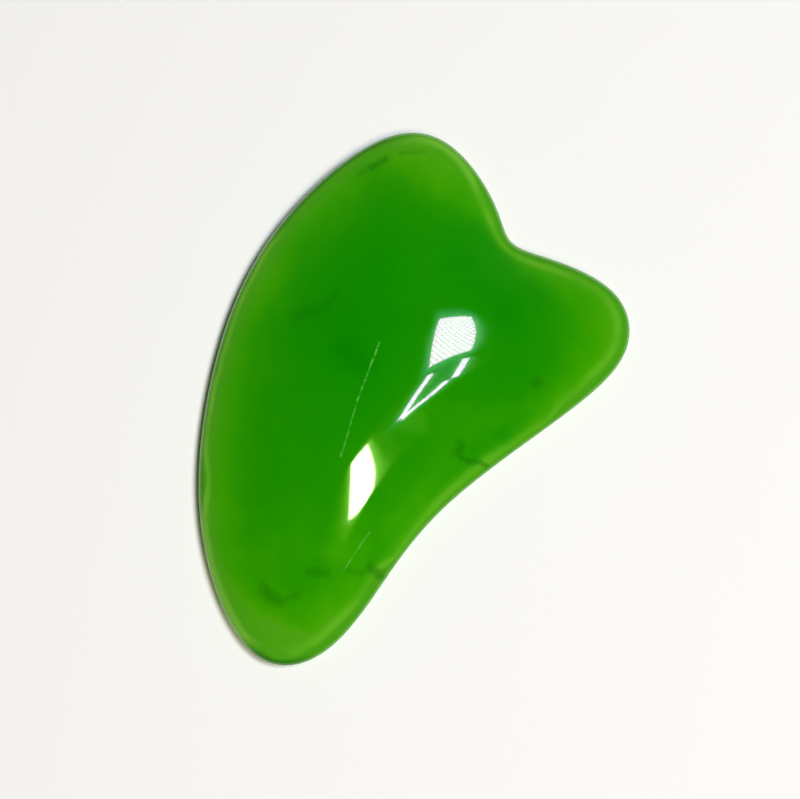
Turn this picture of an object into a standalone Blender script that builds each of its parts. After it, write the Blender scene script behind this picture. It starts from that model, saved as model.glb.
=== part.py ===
"""A gua sha scraper: one board of translucent green stone, carved in one piece and polished all over.

Metres, +Z up. The board lies on its flat back, with the origin on the back under the middle of its
box. +Y runs along it from the tail to the notched head, and +X across it from the spine to the side lobe.
"""

import bmesh
import bpy
import numpy as np

MM = 0.001

# Driving dimensions
LENGTH = 90.0 * MM  # tail tip to head lobe, along Y
WIDTH = 61.7 * MM  # spine to side lobe, along X
THICKNESS = 7.0 * MM  # at the crown
RIM_HEIGHT = 2.2 * MM  # the widest line, above the back
SHOULDER_RISE = 1.4 * MM  # from the widest line up to the top of the rounded shoulder
SHOULDER_WIDTH = 4.5 * MM  # how far in the rounded shoulder reaches on the face
BACK_ROUND_WIDTH = 5.5 * MM  # how far in the back's rounding reaches, with the flat inside it
ROUNDING_POWER = 2.4  # 2 is an ellipse; more runs out into the face more gently
CROWN = (-5.0 * MM, 8.0 * MM)  # the thickest point, on which the mesh is centred

# Control points of the closed cubic B-spline that draws the outline, anticlockwise from above, in mm.
# They are scaled to LENGTH and WIDTH afterwards.
HEAD_LOBE = ((3.2, 37.9), (-8.4, 46.2), (-19.5, 44.4))
SPINE = ((-29.2, 25.4), (-32.2, 5.1), (-26.2, -21.6))
TAIL = ((-16.4, -37.5), (-3.8, -47.5), (5.7, -41.7))
HOLLOW_FLANK = ((9.0, -28.8), (11.7, -11.6))
SIDE_LOBE = ((28.0, 13.6), (32.6, 25.5), (26.7, 34.2))
NOTCH = ((13.3, 34.0), (6.0, 32.5))
OUTLINE_CAGE = HEAD_LOBE + SPINE + TAIL + HOLLOW_FLANK + SIDE_LOBE + NOTCH

# Mesh
SPOKES = 120
SHOULDER_RINGS = 5  # from the widest line to the top of the shoulder
CROWN_RINGS = 8  # from the shoulder to the crown
BACK_ROUND_RINGS = 5
CURVE_STEPS = 200  # for each control point, before the outline is spaced evenly
FIELD_POINTS = 3000  # of the outline, which set the crown's height

STONE_COLOUR = (0.020, 0.270, 0.005, 1.0)
STONE_ROUGHNESS = 0.1


def clear_scene():
    for old in list(bpy.data.objects):
        bpy.data.objects.remove(old, do_unlink=True)


def cage_curve(steps):
    """Points of the closed cubic B-spline, with this many steps for each control point."""
    cage = np.array(OUTLINE_CAGE) * MM
    after, second, third = (np.roll(cage, -shift, axis=0) for shift in (1, 2, 3))
    t = (np.arange(steps) / steps)[None, :, None]
    points = (
        (1 - t) ** 3 * cage[:, None]
        + (3 * t**3 - 6 * t**2 + 4) * after[:, None]
        + (-3 * t**3 + 3 * t**2 + 3 * t + 1) * second[:, None]
        + t**3 * third[:, None]
    ) / 6
    return points.reshape(-1, 2)


def outline(count):
    """Evenly spaced points of the outline, and the unit normals there that point inwards."""
    curve = cage_curve(CURVE_STEPS)
    low, high = curve.min(axis=0), curve.max(axis=0)
    curve = (curve - (low + high) / 2) * np.array((WIDTH, LENGTH)) / (high - low)
    closed = np.vstack((curve, curve[:1]))
    travel = np.concatenate(([0], np.cumsum(np.hypot(*np.diff(closed, axis=0).T))))
    even = np.arange(count) * travel[-1] / count
    points = np.column_stack([np.interp(even, travel, closed[:, axis]) for axis in (0, 1)])
    along = np.roll(points, -1, axis=0) - np.roll(points, 1, axis=0)
    along /= np.hypot(*along.T)[:, None]
    return points, np.column_stack((-along[:, 1], along[:, 0]))


def rim_distance(points):
    """A smooth stand-in for the distance to the outline: true near it, and a parabola across a strip."""
    rim, _ = outline(FIELD_POINTS)
    step = np.hypot(*(rim[1] - rim[0]))
    gap = np.hypot(points[:, None, 0] - rim[:, 0], points[:, None, 1] - rim[:, 1])
    return np.pi / (step / np.maximum(gap, step) ** 2).sum(axis=1)


def crown_height(points):
    """How far the crown stands above the shoulder at these points."""
    rise = THICKNESS - RIM_HEIGHT - SHOULDER_RISE
    return rise * rim_distance(points) / rim_distance(np.array([CROWN]))


def rounding(inset, width):
    """The share of its rise that a rounded edge has reached at this inset: 0 at the rim, 1 at its width."""
    return np.sqrt(1 - (1 - inset / width) ** ROUNDING_POWER)


def back_rings():
    """Rings from the edge of the flat back out towards the widest line."""
    rim, inward = outline(SPOKES)
    for i in range(BACK_ROUND_RINGS):
        inset = BACK_ROUND_WIDTH * (1 - i / BACK_ROUND_RINGS) ** 2
        z = RIM_HEIGHT * (1 - rounding(inset, BACK_ROUND_WIDTH))
        yield np.column_stack((rim + inset * inward, np.full(SPOKES, z)))


def face_rings():
    """Rings from the widest line over the rounded shoulder, and on towards the crown."""
    rim, inward = outline(SPOKES)
    for i in range(SHOULDER_RINGS + 1):
        inset = SHOULDER_WIDTH * (i / SHOULDER_RINGS) ** 2
        plan = rim + inset * inward
        z = RIM_HEIGHT + SHOULDER_RISE * rounding(inset, SHOULDER_WIDTH)
        yield np.column_stack((plan, z + crown_height(plan)))
    shoulder = rim + SHOULDER_WIDTH * inward
    for i in range(1, CROWN_RINGS):
        plan = shoulder + (np.array(CROWN) - shoulder) * i / CROWN_RINGS
        yield np.column_stack((plan, RIM_HEIGHT + SHOULDER_RISE + crown_height(plan)))


def board_mesh():
    """One closed body: the flat back, the rings round the rim and over the face, and a fan at the crown."""
    bm = bmesh.new()
    rings = [[bm.verts.new(point) for point in ring] for ring in (*back_rings(), *face_rings())]
    bm.faces.new(reversed(rings[0]))
    for lower, upper in zip(rings, rings[1:]):
        for i in range(SPOKES):
            j = (i + 1) % SPOKES
            bm.faces.new((lower[i], lower[j], upper[j], upper[i]))
    peak = bm.verts.new((*CROWN, THICKNESS))
    for i in range(SPOKES):
        bm.faces.new((rings[-1][i], rings[-1][(i + 1) % SPOKES], peak))
    mesh = bpy.data.meshes.new("gua_sha_board")
    bm.to_mesh(mesh)
    bm.free()
    mesh.shade_smooth()
    return mesh


def stone_material():
    material = bpy.data.materials.new("jade_stone")
    material.use_nodes = True
    shader = material.node_tree.nodes["Principled BSDF"]
    shader.inputs["Base Color"].default_value = STONE_COLOUR
    shader.inputs["Roughness"].default_value = STONE_ROUGHNESS
    shader.inputs["Metallic"].default_value = 0.0
    return material


def main():
    clear_scene()
    mesh = board_mesh()
    mesh.materials.append(stone_material())
    board = bpy.data.objects.new("gua_sha_board", mesh)
    bpy.context.scene.collection.objects.link(board)


main()
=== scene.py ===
"""A polished gua sha board of translucent green stone, lying on a pale table under soft light."""

import math

import bmesh
import bpy
import numpy as np
from mathutils import Matrix, Vector


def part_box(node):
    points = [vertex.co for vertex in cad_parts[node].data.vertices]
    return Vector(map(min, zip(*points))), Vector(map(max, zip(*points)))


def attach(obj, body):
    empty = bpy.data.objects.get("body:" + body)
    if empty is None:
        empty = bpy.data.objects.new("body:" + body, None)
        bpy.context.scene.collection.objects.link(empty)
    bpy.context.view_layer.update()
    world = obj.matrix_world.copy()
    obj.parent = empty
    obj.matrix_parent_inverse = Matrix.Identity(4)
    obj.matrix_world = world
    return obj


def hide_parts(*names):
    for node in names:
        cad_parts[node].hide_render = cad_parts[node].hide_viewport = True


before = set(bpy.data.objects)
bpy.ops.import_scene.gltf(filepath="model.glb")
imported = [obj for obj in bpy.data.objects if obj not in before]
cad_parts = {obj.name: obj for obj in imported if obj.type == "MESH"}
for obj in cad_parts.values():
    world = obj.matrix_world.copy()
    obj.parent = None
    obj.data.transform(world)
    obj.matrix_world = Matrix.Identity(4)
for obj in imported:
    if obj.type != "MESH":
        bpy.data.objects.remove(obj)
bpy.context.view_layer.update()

MM = 0.001
NODE = "gua_sha_board"

# ---------------------------------------------------------------------------------------------
# The board's shape: the same rule as the CAD part, at a finer pitch and inside the same box
# ---------------------------------------------------------------------------------------------

low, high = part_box(NODE)
WIDTH, LENGTH, THICKNESS = high - low
RIM_HEIGHT = 2.2 * MM  # the widest line, above the back
SHOULDER_RISE = 1.4 * MM  # from the widest line up to the top of the rounded shoulder
SHOULDER_WIDTH = 4.5 * MM  # how far in the rounded shoulder reaches on the face
BACK_ROUND_WIDTH = 5.5 * MM  # how far in the back's rounding reaches, with the flat inside it
ROUNDING_POWER = 2.4  # 2 is an ellipse; more runs out into the face more gently
CROWN = (-5.0 * MM, 8.0 * MM)  # the thickest point, on which the mesh is centred

# The outline's control points, in mm. They are a least-squares fit to a traced outline, pasted in, and
# aren't worked out from driving dimensions.
HEAD_LOBE = ((3.2, 37.9), (-8.4, 46.2), (-19.5, 44.4))
SPINE = ((-29.2, 25.4), (-32.2, 5.1), (-26.2, -21.6))
TAIL = ((-16.4, -37.5), (-3.8, -47.5), (5.7, -41.7))
HOLLOW_FLANK = ((9.0, -28.8), (11.7, -11.6))
SIDE_LOBE = ((28.0, 13.6), (32.6, 25.5), (26.7, 34.2))
NOTCH = ((13.3, 34.0), (6.0, 32.5))
OUTLINE_CAGE = HEAD_LOBE + SPINE + TAIL + HOLLOW_FLANK + SIDE_LOBE + NOTCH

SPOKES = 480
BACK_FLAT_RINGS = 20
BACK_ROUND_RINGS = 10
SHOULDER_RINGS = 14
CROWN_RINGS = 34
CURVE_STEPS = 200
FIELD_POINTS = 3000


def cage_curve(steps):
    """Points of the closed cubic B-spline, with this many steps for each control point."""
    cage = np.array(OUTLINE_CAGE) * MM
    after, second, third = (np.roll(cage, -shift, axis=0) for shift in (1, 2, 3))
    t = (np.arange(steps) / steps)[None, :, None]
    points = (
        (1 - t) ** 3 * cage[:, None]
        + (3 * t**3 - 6 * t**2 + 4) * after[:, None]
        + (-3 * t**3 + 3 * t**2 + 3 * t + 1) * second[:, None]
        + t**3 * third[:, None]
    ) / 6
    return points.reshape(-1, 2)


def outline(count):
    """Evenly spaced points of the outline, and the unit normals there that point inwards."""
    curve = cage_curve(CURVE_STEPS)
    least, most = curve.min(axis=0), curve.max(axis=0)
    curve = (curve - (least + most) / 2) * np.array((WIDTH, LENGTH)) / (most - least)
    closed = np.vstack((curve, curve[:1]))
    travel = np.concatenate(([0], np.cumsum(np.hypot(*np.diff(closed, axis=0).T))))
    even = np.arange(count) * travel[-1] / count
    points = np.column_stack([np.interp(even, travel, closed[:, axis]) for axis in (0, 1)])
    along = np.roll(points, -1, axis=0) - np.roll(points, 1, axis=0)
    along /= np.hypot(*along.T)[:, None]
    return points, np.column_stack((-along[:, 1], along[:, 0]))


FIELD_RIM, _ = outline(FIELD_POINTS)


def rim_distance(points):
    """A smooth stand-in for the distance to the outline: true near it, and a parabola across a strip."""
    step = np.hypot(*(FIELD_RIM[1] - FIELD_RIM[0]))
    gap = np.hypot(points[:, None, 0] - FIELD_RIM[:, 0], points[:, None, 1] - FIELD_RIM[:, 1])
    return np.pi / (step / np.maximum(gap, step) ** 2).sum(axis=1)


CROWN_DISTANCE = float(rim_distance(np.array([CROWN]))[0])


def crown_height(points):
    """How far the crown stands above the shoulder at these points."""
    rise = THICKNESS - RIM_HEIGHT - SHOULDER_RISE
    return rise * rim_distance(points) / CROWN_DISTANCE


def rounding(inset, width):
    """The share of its rise that a rounded edge has reached at this inset: 0 at the rim, 1 at its width."""
    return np.sqrt(1 - (1 - inset / width) ** ROUNDING_POWER)


def back_rings():
    """Rings from the middle of the flat back out over its rounding, towards the widest line."""
    rim, inward = outline(SPOKES)
    flat_edge = rim + BACK_ROUND_WIDTH * inward
    for i in range(1, BACK_FLAT_RINGS):
        plan = np.array(CROWN) + (flat_edge - np.array(CROWN)) * i / BACK_FLAT_RINGS
        yield np.column_stack((plan, np.zeros(SPOKES)))
    for i in range(BACK_ROUND_RINGS):
        inset = BACK_ROUND_WIDTH * (1 - i / BACK_ROUND_RINGS) ** 2
        z = RIM_HEIGHT * (1 - rounding(inset, BACK_ROUND_WIDTH))
        yield np.column_stack((rim + inset * inward, np.full(SPOKES, z)))


def face_rings():
    """Rings from the widest line over the rounded shoulder, and on towards the crown."""
    rim, inward = outline(SPOKES)
    for i in range(SHOULDER_RINGS + 1):
        inset = SHOULDER_WIDTH * (i / SHOULDER_RINGS) ** 2
        plan = rim + inset * inward
        z = RIM_HEIGHT + SHOULDER_RISE * rounding(inset, SHOULDER_WIDTH)
        yield np.column_stack((plan, z + crown_height(plan)))
    shoulder = rim + SHOULDER_WIDTH * inward
    for i in range(1, CROWN_RINGS):
        plan = shoulder + (np.array(CROWN) - shoulder) * i / CROWN_RINGS
        yield np.column_stack((plan, RIM_HEIGHT + SHOULDER_RISE + crown_height(plan)))


def board_mesh():
    """One closed body, with each point's distance from the rim, in mm, kept for the material."""
    bm = bmesh.new()
    rings = [[bm.verts.new(point) for point in ring] for ring in (*back_rings(), *face_rings())]
    for lower, upper in zip(rings, rings[1:]):
        for i in range(SPOKES):
            j = (i + 1) % SPOKES
            bm.faces.new((lower[i], lower[j], upper[j], upper[i]))
    under = bm.verts.new((*CROWN, 0.0))
    peak = bm.verts.new((*CROWN, THICKNESS))
    for i in range(SPOKES):
        j = (i + 1) % SPOKES
        bm.faces.new((rings[0][j], rings[0][i], under))
        bm.faces.new((rings[-1][i], rings[-1][j], peak))
    mesh = bpy.data.meshes.new("polished_board")
    bm.to_mesh(mesh)
    bm.free()
    mesh.shade_smooth()
    plan = np.array([vertex.co[:2] for vertex in mesh.vertices])
    distance = np.concatenate([rim_distance(part) for part in np.array_split(plan, 60)])
    inset = mesh.attributes.new("rim_distance", "FLOAT", "POINT")
    inset.data.foreach_set("value", (distance / MM).astype(np.float32))
    return mesh


# ---------------------------------------------------------------------------------------------
# Materials
# ---------------------------------------------------------------------------------------------


def new_material(name):
    material = bpy.data.materials.new(name)
    material.use_nodes = True
    nodes = material.node_tree.nodes
    return material, material.node_tree, nodes["Principled BSDF"]


def feed(tree, value, socket):
    """Links an output to the socket, or sets the socket to a plain value."""
    if isinstance(value, bpy.types.NodeSocket):
        tree.links.new(value, socket)
    else:
        socket.default_value = value


def number(tree, operation, first, second, clamp=False):
    """A Math node's result."""
    node = tree.nodes.new("ShaderNodeMath")
    node.operation = operation
    node.use_clamp = clamp
    feed(tree, first, node.inputs[0])
    feed(tree, second, node.inputs[1])
    return node.outputs["Value"]


def vector(tree, operation, first, second, result="Vector"):
    """A Vector Math node's result."""
    node = tree.nodes.new("ShaderNodeVectorMath")
    node.operation = operation
    feed(tree, first, node.inputs[0])
    feed(tree, second, node.inputs["Scale"] if operation == "SCALE" else node.inputs[1])
    return node.outputs[result]


def fade(tree, value, start, end, before, after):
    """before until the value reaches start, after from end on, and a smooth step between them."""
    node = tree.nodes.new("ShaderNodeMapRange")
    node.interpolation_type = "SMOOTHSTEP"
    feed(tree, value, node.inputs["Value"])
    settings = {"From Min": start, "From Max": end, "To Min": before, "To Max": after}
    for name, setting in settings.items():
        node.inputs[name].default_value = setting
    return node.outputs["Result"]


def ramp(tree, source, stops):
    """A colour ramp of (place, linear colour) stops."""
    node = tree.nodes.new("ShaderNodeValToRGB")
    while len(node.color_ramp.elements) < len(stops):
        node.color_ramp.elements.new(0.5)
    for element, (place, colour) in zip(node.color_ramp.elements, stops):
        element.position = place
        element.color = (*colour, 1.0)
    tree.links.new(source, node.inputs["Fac"])
    return node.outputs["Color"]


def blend(tree, share, first, second, mode="MIX"):
    """Two colours mixed."""
    node = tree.nodes.new("ShaderNodeMix")
    node.data_type = "RGBA"
    node.blend_type = mode
    feed(tree, share, node.inputs[0])
    feed(tree, first, node.inputs[6])
    feed(tree, second, node.inputs[7])
    return node.outputs[2]


def noise(tree, place, size, detail=2.0, roughness=0.5, result="Fac"):
    """Noise whose lumps are about this size in mm, between 0 and 1."""
    node = tree.nodes.new("ShaderNodeTexNoise")
    node.inputs["Scale"].default_value = 1.0 / size
    node.inputs["Detail"].default_value = detail
    node.inputs["Roughness"].default_value = roughness
    tree.links.new(place, node.inputs["Vector"])
    return node.outputs[result]


def swell(tree, place, size, amount, detail=2.0):
    """Noise between about minus and plus this amount."""
    even = number(tree, "SUBTRACT", noise(tree, place, size, detail), 0.5)
    return number(tree, "MULTIPLY", even, 2 * amount)


def total(tree, *parts):
    """The sum of the parts."""
    result = parts[0]
    for part in parts[1:]:
        result = number(tree, "ADD", result, part)
    return result


def stroke(tree, place, start, end, reach, strength):
    """strength on the line from start to end, in mm on the board, fading to 0 at reach from it."""
    along = Vector((*end, 0.0)) - Vector((*start, 0.0))
    offset = vector(tree, "SUBTRACT", place, (*start, 0.0))
    share = vector(tree, "DOT_PRODUCT", offset, along / max(along.length_squared, 1e-6), "Value")
    share = number(tree, "MULTIPLY", share, 1.0, clamp=True)
    gap = vector(tree, "DISTANCE", offset, vector(tree, "SCALE", along, share), "Value")
    return fade(tree, gap, 0.0, reach, strength, 0.0)


# How much deeper into the stone the light seems to go, in mm, in soft clouds. A cloud is a line from its
# start to its end, in mm on the board, its reach and that depth; below 0, the stone is clearer, except by
# the warm highlight, where it is painted glow.
CLOUDS = (
    ((1.0, 28.5), (10.0, 24.0), 9.0, 6.5),  # darker behind the notch
    ((4.0, 36.0), (8.0, 37.0), 4.0, 1.5),
    ((-13.0, 20.0), (-16.0, 8.0), 10.0, 2.8),
    ((-11.0, 5.0), (-8.0, 4.0), 3.6, 3.0),
    ((-16.0, 41.0), (-10.0, 38.5), 7.0, -2.8),
    ((13.0, 18.0), (17.0, 12.0), 7.5, 3.3),
    ((4.0, 10.0), (-1.0, -9.0), 8.0, -4.2),
    ((10.0, 4.0), (8.0, -2.0), 6.0, -1.5),
    ((-9.0, -6.0), (-7.0, -26.0), 11.0, -2.3),
    # painted glow: lighter round the warm highlight
    ((0.0, -17.0), (1.0, -24.0), 5.0, -2.8),
    ((-2.0, -38.0), (3.0, -36.0), 8.0, -2.0),
    ((-12.0, -38.5), (-1.0, -41.5), 5.0, -3.0),
    ((19.5, 3.0), (9.0, -25.0), 6.0, 5.5),  # along the hollow flank
    ((26.0, 10.0), (20.0, 3.0), 5.0, 4.5),
    ((27.0, 27.0), (27.0, 19.0), 8.0, -1.0),
)
CLOUD_SIZES = ((11.0, 2.6), (3.5, 1.0))  # size and depth of the unplaced mottling

# Moss-like inclusions: start and end of a stroke in mm on the board, its reach and its darkness.
INCLUSIONS = (
    ((-20.8, 33.6), (-19.6, 35.0), 1.1, 0.25),
    ((-19.4, 35.2), (-17.8, 37.4), 1.0, 0.50),
    ((-16.0, 39.3), (-12.5, 41.4), 0.8, 0.25),
    ((19.2, 13.3), (19.0, 12.9), 1.4, 0.45),
    ((11.9, -1.3), (12.0, -2.6), 1.3, 0.45),
    ((12.6, -3.2), (17.0, -2.4), 0.8, 0.50),
    ((-2.2, -29.6), (0.4, -28.5), 1.2, 0.35),
    ((-7.6, -35.0), (-4.6, -35.6), 1.7, 0.45),
    ((-4.6, -35.4), (-2.6, -33.6), 1.0, 0.30),
    ((6.2, -25.0), (8.6, -25.4), 1.3, 0.50),
    ((3.0, -26.9), (5.4, -26.4), 1.0, 0.25),
    ((-20.4, 7.2), (-17.6, 9.8), 2.0, 0.30),
    ((-17.6, 9.8), (-16.4, 12.6), 1.4, 0.30),
)

# Healed cracks, finer than a hair, drawn as painted glints where they catch the light: places in mm on the
# board, and brightness.
HAIRLINES = (
    (((-6.6, 8.6), (-6.4, 4.1), (-6.1, -1.8)), 0.70),
    (((-6.1, -1.8), (-5.5, -6.5), (-5.0, -10.2)), 0.35),
    (((-5.2, -10.0), (-5.0, -10.8)), 0.80),
    (((4.0, -20.0), (3.2, -23.9), (2.6, -27.6)), 0.35),
)
HAIRLINE_REACH = 0.22

RIM_BAND = (0.150, 0.480, 0.022)  # light caught in the rounded shoulder
RIM_PALE = (0.205, 0.540, 0.050)  # the same where most is caught
RIM_SHADE_LINE = (0.058, 0.300, 0.012)  # painted shade outside it, where the rounded rim turns away from the light
RIM_DARK = (0.018, 0.185, 0.002)  # the same where no light is caught
# Where round the rim the painted shade is deeper (RIM_SHADE) and the painted light stronger (RIM_LIGHT):
# start and end of a stroke in mm on the board, its reach and its strength.
RIM_SHADE = (
    ((-27.0, 24.0), (-20.0, 37.0), 9.0, 0.7),
    ((-5.0, -45.0), (1.0, -45.0), 6.0, 1.0),
)
RIM_LIGHT = (
    ((-29.5, 16.0), (-29.5, -6.0), 5.0, 0.35),
    ((-29.0, -8.0), (-26.5, -18.0), 6.0, 0.5),
    ((-22.0, -30.0), (-9.0, -43.0), 8.0, 1.0),
    ((-6.0, -44.0), (2.0, -43.5), 4.0, 0.35),
    ((-13.0, 44.5), (-4.0, 43.0), 7.0, 0.5),
    ((24.0, 7.5), (10.0, -21.0), 5.0, 0.3),
)
FLANK_RIM = ((24.0, 7.5), (10.0, -21.0), 5.5, 0.75)  # where the bands are narrow and faint
HAIRLINE_COLOUR = (0.22, 0.68, 0.14)
INCLUSION_COLOUR = (0.005, 0.150, 0.001)
DEEPEST = 18.0

# Colour against how deep into the stone the light goes, in mm. It began as a list of measured colours.
DEPTH_COLOURS = (
    (0.0, (0.082, 0.385, 0.008)),
    (1.5, (0.071, 0.390, 0.003)),
    (2.3, (0.057, 0.378, 0.001)),
    (3.2, (0.048, 0.368, 0.0002)),
    (4.4, (0.0360, 0.350, 0.0)),
    (6.0, (0.0230, 0.320, 0.0)),
    (8.0, (0.0148, 0.296, 0.0)),
    (10.5, (0.0090, 0.286, 0.0)),
    (13.0, (0.0072, 0.282, 0.0)),
    (DEEPEST, (0.0030, 0.250, 0.0)),
)


def board_place(tree):
    """A place on the board in mm, with its height left out."""
    coordinates = tree.nodes.new("ShaderNodeTexCoord")
    return vector(tree, "MULTIPLY", coordinates.outputs["Object"], (1 / MM, 1 / MM, 0.0))


def ragged(tree, place, size, amount):
    """The place moved about by noise, which frays the edges of what is drawn there."""
    shift = vector(tree, "SUBTRACT", noise(tree, place, size, 3.0, result="Color"), (0.5, 0.5, 0.5))
    return vector(tree, "ADD", place, vector(tree, "MULTIPLY", shift, (2 * amount, 2 * amount, 0.0)))


def peak(tree, value, places, height):
    """0, then up to a height between the first two places, and back to 0 between the last two."""
    rise = fade(tree, value, *places[:2], 0.0, height)
    return number(tree, "MULTIPLY", rise, fade(tree, value, *places[2:], 1.0, 0.0))


def rim_painted_light_and_shade(tree, place, distance, colour):
    """The rim's painted light and shade: a dark line of painted shade outermost, then a pale band of
    painted light, nearer the edge along the spine.
    """
    split = tree.nodes.new("ShaderNodeSeparateXYZ")
    tree.links.new(place, split.inputs[0])
    spread = fade(tree, split.outputs["X"], -27.0, -14.0, 1.0, 1.55)
    flank = stroke(tree, place, *FLANK_RIM)
    inset = number(tree, "DIVIDE", distance, number(tree, "SUBTRACT", spread, flank))
    inset = number(tree, "ADD", inset, swell(tree, place, 7.0, 0.25))
    shade = strongest(tree, [stroke(tree, place, *part) for part in RIM_SHADE])
    light = strongest(tree, [stroke(tree, place, *part) for part in RIM_LIGHT])
    inset = number(tree, "ADD", inset, number(tree, "MULTIPLY", light, 0.95))
    # The outermost line and its darker patches are painted shade; the pale band further in is painted
    # light.
    line = peak(tree, inset, (0.10, 0.40, 0.60, 1.05), 0.45)
    line = number(tree, "MULTIPLY", line, number(tree, "SUBTRACT", 1.0, light))
    dark = number(tree, "MULTIPLY", fade(tree, inset, 0.50, 1.05, 0.9, 0.0), shade)
    patchy = fade(tree, noise(tree, place, 9.0), 0.35, 0.6, 0.25, 0.65)
    level = number(tree, "SUBTRACT", total(tree, patchy, light), shade, clamp=True)
    level = number(tree, "MULTIPLY", level, number(tree, "SUBTRACT", 1.0, flank))
    band = number(tree, "MULTIPLY", peak(tree, inset, (0.80, 1.20, 1.30, 1.90), 1.0), level)
    colour = blend(tree, line, colour, (*RIM_SHADE_LINE, 1.0))
    colour = blend(tree, dark, colour, (*RIM_DARK, 1.0))
    pale = blend(tree, light, (*RIM_BAND, 1.0), (*RIM_PALE, 1.0))
    return blend(tree, band, colour, pale)


def stone_depth(tree, place, distance):
    """How deep into the stone the light goes: with the distance from the rim, and with its clouds."""
    soft = ragged(tree, place, 8.0, 2.5)
    clouds = [stroke(tree, soft, *cloud) for cloud in CLOUDS]
    mottling = [swell(tree, place, size, depth, 3.0) for size, depth in CLOUD_SIZES]
    inside = fade(tree, distance, 0.5, 4.0, 0.0, 1.0)  # the thin rim has no clouds
    extra = number(tree, "MULTIPLY", total(tree, *clouds, *mottling), inside)
    return number(tree, "ADD", distance, extra)


def strongest(tree, masks):
    """The highest of the masks at each place."""
    result = masks[0]
    for mask in masks[1:]:
        result = number(tree, "MAXIMUM", result, mask)
    return result


def jade():
    material, tree, shader = new_material("jade_stone")
    place = board_place(tree)
    attribute = tree.nodes.new("ShaderNodeAttribute")
    attribute.attribute_name = "rim_distance"
    distance = attribute.outputs["Fac"]

    depth = number(tree, "DIVIDE", stone_depth(tree, place, distance), DEEPEST, clamp=True)
    colour = ramp(tree, depth, [(mm / DEEPEST, tint) for mm, tint in DEPTH_COLOURS])
    colour = rim_painted_light_and_shade(tree, place, distance, colour)

    frayed = ragged(tree, place, 1.6, 0.7)
    moss = strongest(tree, [stroke(tree, frayed, *inclusion) for inclusion in INCLUSIONS])
    colour = blend(tree, moss, colour, (*INCLUSION_COLOUR, 1.0))

    wavy = ragged(tree, place, 3.0, 0.12)
    glints = []
    for places, brightness in HAIRLINES:
        for start, end in zip(places, places[1:]):
            glints.append(stroke(tree, wavy, start, end, HAIRLINE_REACH, brightness))
    broken = fade(tree, noise(tree, place, 1.1, 2.0), 0.38, 0.60, 0.15, 1.0)
    glint = number(tree, "MULTIPLY", strongest(tree, glints), broken)
    colour = blend(tree, glint, colour, (*HAIRLINE_COLOUR, 1.0))

    tree.links.new(colour, shader.inputs["Base Color"])
    polish = fade(tree, noise(tree, place, 2.5, 4.0, 0.6), 0.3, 0.7, 0.05, 0.08)
    shader.inputs["Roughness"].default_value = 0.06
    tree.links.new(polish, shader.inputs["Roughness"])
    shader.inputs["IOR"].default_value = 1.3
    shader.inputs["Specular Tint"].default_value = (0.45, 1.0, 0.12, 1.0)
    shader.inputs["Coat Weight"].default_value = 1.0
    shader.inputs["Coat Roughness"].default_value = 0.02
    shader.inputs["Subsurface Weight"].default_value = 0.4
    shader.inputs["Subsurface Radius"].default_value = (0.3, 1.0, 0.12)
    shader.inputs["Subsurface Scale"].default_value = 2.0 * MM
    return material


def table_top():
    material, _, shader = new_material("pale_table")
    shader.inputs["Base Color"].default_value = (0.95, 0.945, 0.99, 1.0)
    shader.inputs["Roughness"].default_value = 0.9
    shader.inputs["Specular IOR Level"].default_value = 0.2
    return material


# ---------------------------------------------------------------------------------------------
# Camera, table and light
# ---------------------------------------------------------------------------------------------

CAMERA_TARGET = Vector((0.06, 2.53, 0.0)) * MM
CAMERA_DISTANCE = 0.34
CAMERA_TILT = math.radians(10.0)  # towards the tail, from straight overhead
CAMERA_ROLL = math.radians(23.45)  # which turns the head of the board to the right of upright
SENSOR_WIDTH = 36.0
LENS = 93.8


def on_table(right, up, height=0.0):
    """A place given along the picture's right and up on the table, in metres from the camera's target."""
    turn = Matrix.Rotation(CAMERA_ROLL, 3, "Z")
    return CAMERA_TARGET + turn @ Vector((right, up, height))


def make_camera():
    data = bpy.data.cameras.new("camera")
    data.lens = LENS
    data.sensor_width = SENSOR_WIDTH
    camera = bpy.data.objects.new("camera", data)
    bpy.context.scene.collection.objects.link(camera)
    tilt = Matrix.Rotation(CAMERA_TILT, 4, "X")
    camera.matrix_world = (
        Matrix.Translation(CAMERA_TARGET)
        @ tilt
        @ Matrix.Translation((0.0, 0.0, CAMERA_DISTANCE))
        @ Matrix.Rotation(CAMERA_ROLL, 4, "Z")
    )
    bpy.context.scene.camera = camera


def area_light(name, place, size, radiance, colour):
    """A rectangular light of this radiance, aimed at the board."""
    data = bpy.data.lights.new(name, "AREA")
    data.shape = "RECTANGLE"
    data.size, data.size_y = size
    data.energy = radiance * math.pi * size[0] * size[1]
    data.color = colour
    light = bpy.data.objects.new(name, data)
    bpy.context.scene.collection.objects.link(light)
    aim = CAMERA_TARGET - place
    light.matrix_world = Matrix.Translation(place) @ aim.to_track_quat("-Z", "Y").to_matrix().to_4x4()
    return light


def make_lights():
    soft = area_light("ceiling_softbox", on_table(0.36, 0.0, 1.10), (0.36, 0.36), 23.5, (0.91, 0.96, 1.0))
    warm = area_light("warm_lamp", on_table(0.28, -0.44, 1.10), (0.40, 0.40), 11.5, (1.0, 0.89, 0.66))
    for light in (soft, warm):
        light.visible_glossy = False


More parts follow.
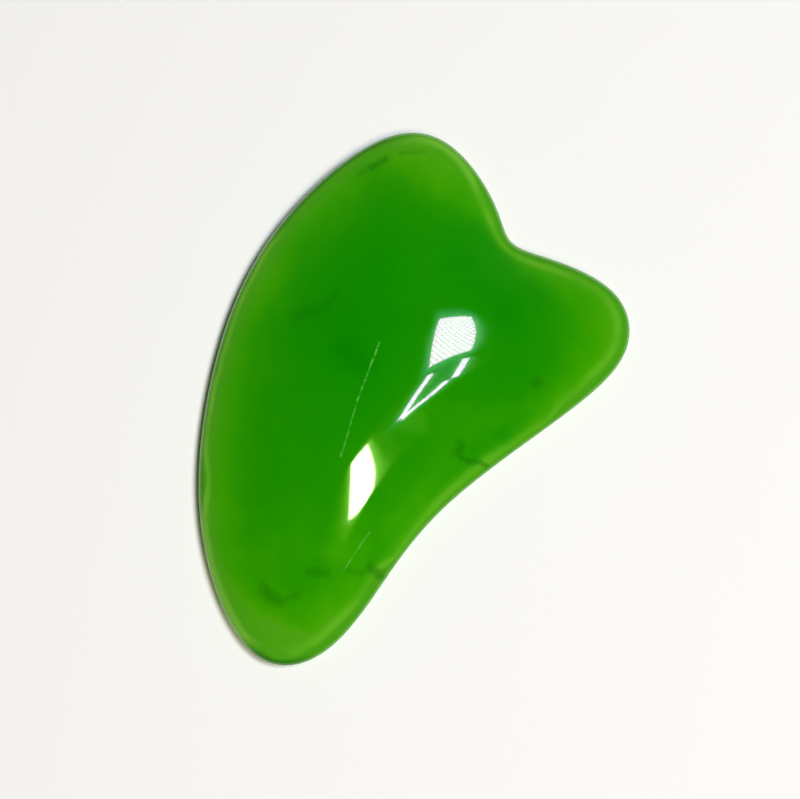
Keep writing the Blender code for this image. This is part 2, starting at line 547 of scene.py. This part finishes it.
# Glowing cards over the table that only the polish mirrors: four corners each, in metres on the table.
# The corners were computed by tracing highlights back off the crown, and then rounded or moved a little.
CARD_HEIGHT = 0.70
CARD_STEP = 0.002  # each card hangs this much above the last
CARD_CELLS = 16
COOL_PANEL = ((0.055, 0.237), (0.092, 0.283), (0.133, 0.167), (0.100, 0.120))
COOL_BOWS = ((0.0, 0.0), (-0.0100, -0.0015))
COOL_WEB = ((0.114, 0.110), (0.139, 0.149), (0.163, 0.088), (0.140, 0.045))
COOL_STRIPS = (
    ((0.115, 0.107), (0.125, 0.075)),
    ((0.125, 0.075), (0.139, 0.046)),
    ((0.142, 0.144), (0.162, 0.097)),
    ((0.157, 0.092), (0.157, 0.067)),
    ((0.157, 0.067), (0.144, 0.046)),
)
COOL_SPILL = ((0.133, 0.055), (0.184, 0.043), (0.223, 0.019), (0.166, 0.034))
WARM_PANEL = ((0.1840, -0.0064), (0.0835, 0.0205), (0.0990, 0.0330), (0.2165, 0.0010))
WARM_BOWS = ((-0.0004, -0.0016), (0.0120, -0.0008))
STRIP_WIDTH = 0.008
COOL_WHITE = (0.88, 0.61, 1.0)
COOL_GLOW = (0.30, 1.0, 0.80)
SPILL_GLOW = (0.55, 1.0, 0.10)
WARM_WHITE = (1.0, 0.97, 0.72)
WARM_GLOW = (0.38, 1.0, 0.03)


def card_material(name, colour, radiance, glow, glow_radiance, margins, dots):
    """Light added to what is behind it: even inside the card, and a glow that fades out over its margins.

    colour and radiance are the card's, glow and glow_radiance its surround's. dots is how many rows of
    small dimmer dots it has each way, or None.
    """
    material, tree, _ = new_material(name)
    tree.nodes.clear()
    coordinates = tree.nodes.new("ShaderNodeTexCoord")
    centred = vector(tree, "SUBTRACT", coordinates.outputs["UV"], (0.5, 0.5, 0.0))
    outside = vector(tree, "SUBTRACT", vector(tree, "ABSOLUTE", centred, (0, 0, 0)), (0.5, 0.5, 0.0))
    outside = vector(tree, "MAXIMUM", outside, (0, 0, 0))
    outside = vector(tree, "DIVIDE", outside, (*margins, 1.0))
    outside = vector(tree, "DISTANCE", outside, (0, 0, 0), "Value")
    spill = fade(tree, outside, 0.0, 1.0, 1.0, 0.0)
    spill = number(tree, "MULTIPLY", number(tree, "POWER", spill, 2.0), glow_radiance)
    inside = number(tree, "LESS_THAN", outside, 1e-4)
    level = radiance
    if dots:
        split = tree.nodes.new("ShaderNodeSeparateXYZ")
        tree.links.new(coordinates.outputs["UV"], split.inputs[0])
        waves = [
            number(tree, "SINE", number(tree, "MULTIPLY", split.outputs[axis], 2 * math.pi * count), 0.0)
            for axis, count in enumerate(dots)
        ]
        level = fade(tree, number(tree, "MULTIPLY", *waves), 0.0, 0.7, radiance, 0.35 * radiance)
    strength = tree.nodes.new("ShaderNodeMix")
    feed(tree, inside, strength.inputs["Factor"])
    feed(tree, spill, strength.inputs["A"])
    feed(tree, level, strength.inputs["B"])
    light = tree.nodes.new("ShaderNodeEmission")
    feed(tree, blend(tree, inside, (*glow, 1.0), (*colour, 1.0)), light.inputs["Color"])
    feed(tree, strength.outputs["Result"], light.inputs["Strength"])
    added = tree.nodes.new("ShaderNodeAddShader")
    tree.links.new(light.outputs[0], added.inputs[0])
    tree.links.new(tree.nodes.new("ShaderNodeBsdfTransparent").outputs[0], added.inputs[1])
    tree.links.new(added.outputs[0], tree.nodes.new("ShaderNodeOutputMaterial").inputs["Surface"])
    return material


def card(name, corners, level, colour, radiance, glow, glow_radiance, margins, dots=None, bows=None):
    """A card between four corners, on a sheet that reaches past them by the margins of its two sides.

    bows is how far the middles of its first and last sides, which meet at the first corner, stand out.
    """
    first_bow, last_bow = (Vector((*bow, 0.0)) for bow in bows or ((0, 0), (0, 0)))
    corners = [Vector((*corner, CARD_HEIGHT + level * CARD_STEP)) for corner in corners]
    bm = bmesh.new()
    uv_layer = bm.loops.layers.uv.new("UVMap")
    places = {}
    for i in range(CARD_CELLS + 1):
        for j in range(CARD_CELLS + 1):
            u = -margins[0] + (1 + 2 * margins[0]) * i / CARD_CELLS
            v = -margins[1] + (1 + 2 * margins[1]) * j / CARD_CELLS
            point = corners[0].lerp(corners[1], u).lerp(corners[3].lerp(corners[2], u), v)
            along, across = (min(max(share, 0.0), 1.0) for share in (u, v))
            point += first_bow * 4 * along * (1 - along) * (1 - v)
            point += last_bow * 4 * across * (1 - across) * (1 - u)
            places[i, j] = (bm.verts.new(point), (u, v))
    for i in range(CARD_CELLS):
        for j in range(CARD_CELLS):
            ring = [places[i, j], places[i + 1, j], places[i + 1, j + 1], places[i, j + 1]]
            face = bm.faces.new([vertex for vertex, _ in ring])
            for loop, (_, uv) in zip(face.loops, ring):
                loop[uv_layer].uv = uv
    mesh = bpy.data.meshes.new(name)
    bm.to_mesh(mesh)
    bm.free()
    mesh.materials.append(card_material(name, colour, radiance, glow, glow_radiance, margins, dots))
    panel = bpy.data.objects.new(name, mesh)
    bpy.context.scene.collection.objects.link(panel)
    for part in ("camera", "diffuse", "transmission", "volume_scatter", "shadow"):
        setattr(panel, "visible_" + part, False)


def strip_corners(ends):
    """The corners of a thin strip between two places."""
    start, end = (Vector(place) for place in ends)
    side = (end - start).normalized().orthogonal() * STRIP_WIDTH / 2
    return start - side, end - side, end + side, start + side


def make_cards():
    glow = (COOL_GLOW, 2.6, (0.30, 0.30))
    card("cool_panel", COOL_PANEL, 0, COOL_WHITE, 26.0, *glow, dots=(8, 9), bows=COOL_BOWS)
    for i, ends in enumerate(COOL_STRIPS):
        card(f"cool_strip_{i}", strip_corners(ends), 1 + i, COOL_WHITE, 23.5, COOL_GLOW, 1.6, (0.1, 1.8))
    card("cool_web", COOL_WEB, 6, COOL_GLOW, 0.7, COOL_GLOW, 0.7, (0.25, 0.25))
    card("cool_spill", COOL_SPILL, 7, SPILL_GLOW, 0.7, SPILL_GLOW, 0.7, (0.2, 0.2))
    warm = (WARM_WHITE, 34.0, WARM_GLOW, 1.4, (0.09, 0.5))
    card("warm_panel", WARM_PANEL, 8, *warm, bows=WARM_BOWS)


WORLD_WHITE = (1.0, 0.99, 0.97)
WORLD_FILL = (1.0, 0.95, 0.40)  # its colour in the shadows
WORLD_LIGHT = 0.04  # even, on matt surfaces
WORLD_SEEN = 0.95  # behind the table
WORLD_SHEEN = (0.10, 0.0)  # mirrored by polish: near the horizon, and overhead
SHEEN_LEAN = 0.6  # how much brighter it is on the side towards SHEEN_TURN
SHEEN_TURN = math.radians(140.0)  # from the picture's right
SHEEN_EDGE = (0.58, 0.97)  # sines of the elevations between which it darkens


def make_world():
    """Even soft light, in which the polish mirrors a pale wall round the horizon and a dark ceiling."""
    world = bpy.data.worlds.new("room")
    bpy.context.scene.world = world
    world.use_nodes = True
    tree = world.node_tree
    new, link = tree.nodes.new, tree.links.new
    direction = new("ShaderNodeTexCoord").outputs["Generated"]
    split = new("ShaderNodeSeparateXYZ")
    link(direction, split.inputs[0])
    sheen = fade(tree, split.outputs["Z"], *SHEEN_EDGE, *WORLD_SHEEN)
    turn = Matrix.Rotation(CAMERA_ROLL + SHEEN_TURN, 3, "Z") @ Vector((SHEEN_LEAN, 0.0, 0.0))
    lean = vector(tree, "DOT_PRODUCT", direction, turn, "Value")
    sheen = number(tree, "MULTIPLY", sheen, number(tree, "ADD", lean, 1.0))
    ray = new("ShaderNodeLightPath")
    glossy = new("ShaderNodeMix")
    glossy.inputs["A"].default_value = WORLD_LIGHT
    link(sheen, glossy.inputs["B"])
    link(ray.outputs["Is Glossy Ray"], glossy.inputs["Factor"])
    seen = new("ShaderNodeMix")
    seen.inputs["B"].default_value = WORLD_SEEN
    link(glossy.outputs["Result"], seen.inputs["A"])
    link(ray.outputs["Is Camera Ray"], seen.inputs["Factor"])
    background = tree.nodes["Background"]
    colour = blend(tree, ray.outputs["Is Diffuse Ray"], (*WORLD_WHITE, 1.0), (*WORLD_FILL, 1.0))
    link(colour, background.inputs["Color"])
    link(seen.outputs["Result"], background.inputs["Strength"])


def make_table():
    bpy.ops.mesh.primitive_plane_add(size=6.0)
    table = bpy.context.object
    table.name = "table_top"
    table.data.materials.append(table_top())


def make_board():
    mesh = board_mesh()
    mesh.materials.append(jade())
    board = bpy.data.objects.new("polished_board", mesh)
    bpy.context.scene.collection.objects.link(board)
    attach(board, "root")
    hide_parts(NODE)
    return board


bpy.context.scene.view_settings.view_transform = "Standard"
make_camera()
make_world()
make_table()
make_lights()
make_cards()
make_board()
